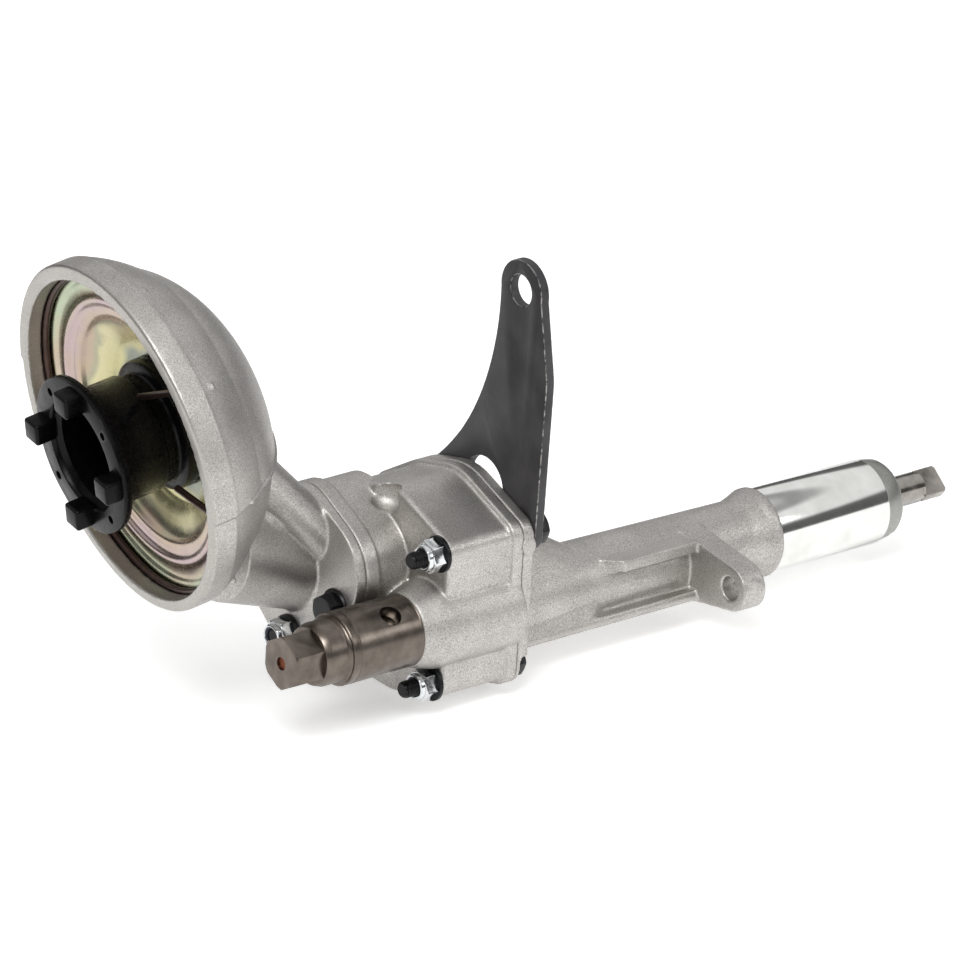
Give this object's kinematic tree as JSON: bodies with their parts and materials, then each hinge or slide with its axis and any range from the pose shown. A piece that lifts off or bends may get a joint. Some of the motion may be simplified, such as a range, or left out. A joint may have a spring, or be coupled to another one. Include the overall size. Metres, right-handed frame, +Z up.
{
  "type": "engine oil pump",
  "caption": "Gear oil pump driven through a long shaft tube, with a guide sleeve, support bracket, relief valve and a bell-shaped suction strainer with a snorkel.",
  "frame": {"origin": "on the drive shaft's axis, at the collar face that the turned guide sleeve ends against", "axes": "+X along the drive shaft towards its tang, +Z up, towards the support bracket, +Y to the far side from the relief valve"},
  "size_m": [0.3569, 0.1375, 0.1633],
  "materials": {
    "cast_aluminium": "blasted die casting, with bright turned fits",
    "phosphated_plate": "dark phosphated steel plate, satin",
    "ground_steel": "ground steel, lightly oiled",
    "gear_steel": "hobbed and ground steel",
    "bronze": "sintered bronze",
    "phosphated_steel": "turned steel with a brown-grey phosphate coat",
    "spring_steel": "bare spring wire",
    "copper": "copper-coloured sealing plug",
    "steel_gauze": "woven wire gauze",
    "yellow_zinc": "yellow passivated zinc with a faint rainbow",
    "brown_wire": "tempered dark brown spring wire",
    "black_plastic": "black moulded nylon, satin",
    "black_steel": "black oiled steel",
    "zinc_steel": "bright zinc plating"
  },
  "bodies": {
    "housing": {"drive_housing": "cast_aluminium", "pump_body": "cast_aluminium", "suction_bell": "cast_aluminium", "support_bracket": "phosphated_plate", "idler_pin": "ground_steel", "upper_bush": "bronze", "lower_bush": "bronze", "relief_barrel": "phosphated_steel", "relief_cap": "phosphated_steel", "relief_spring": "spring_steel", "relief_plug": "copper", "strainer_gauze": "steel_gauze", "strainer_cover": "yellow_zinc", "retaining_wire": "brown_wire", "suction_snorkel": "black_plastic", "body_bolts": "black_steel", "body_nuts": "zinc_steel", "body_washers": "black_steel", "bell_bolt": "black_steel", "bell_studs": "black_steel", "bell_nuts": "zinc_steel", "bell_washers": "black_steel"},
    "drive": {"drive_shaft": "ground_steel", "drive_gear": "gear_steel", "gear_key": "ground_steel"},
    "driven": {"driven_gear": "gear_steel"},
    "relief": {"relief_piston": "ground_steel"}
  },
  "joints": [
    {"name": "drive_shaft_spin", "type": "hinge", "parent": "housing", "child": "drive", "pos_m": [0, 0, 0], "axis": [1, 0, 0], "continuous": true},
    {"name": "driven_gear_spin", "type": "hinge", "parent": "housing", "child": "driven", "pos_m": [-0.143, 0.01026, 0.02819], "axis": [1, 0, 0], "continuous": true},
    {"name": "relief_piston_slide", "type": "slide", "parent": "housing", "child": "relief", "axis": [-1, 0, 0], "range_m": [0, 0.007], "stiffness_N_per_m": 4000, "springref_m": -0.004, "deforming": ["relief_spring"]}
  ],
  "couplings": [
    {"joint": "driven_gear_spin", "follows": "drive_shaft_spin", "ratio": -1}
  ]
}
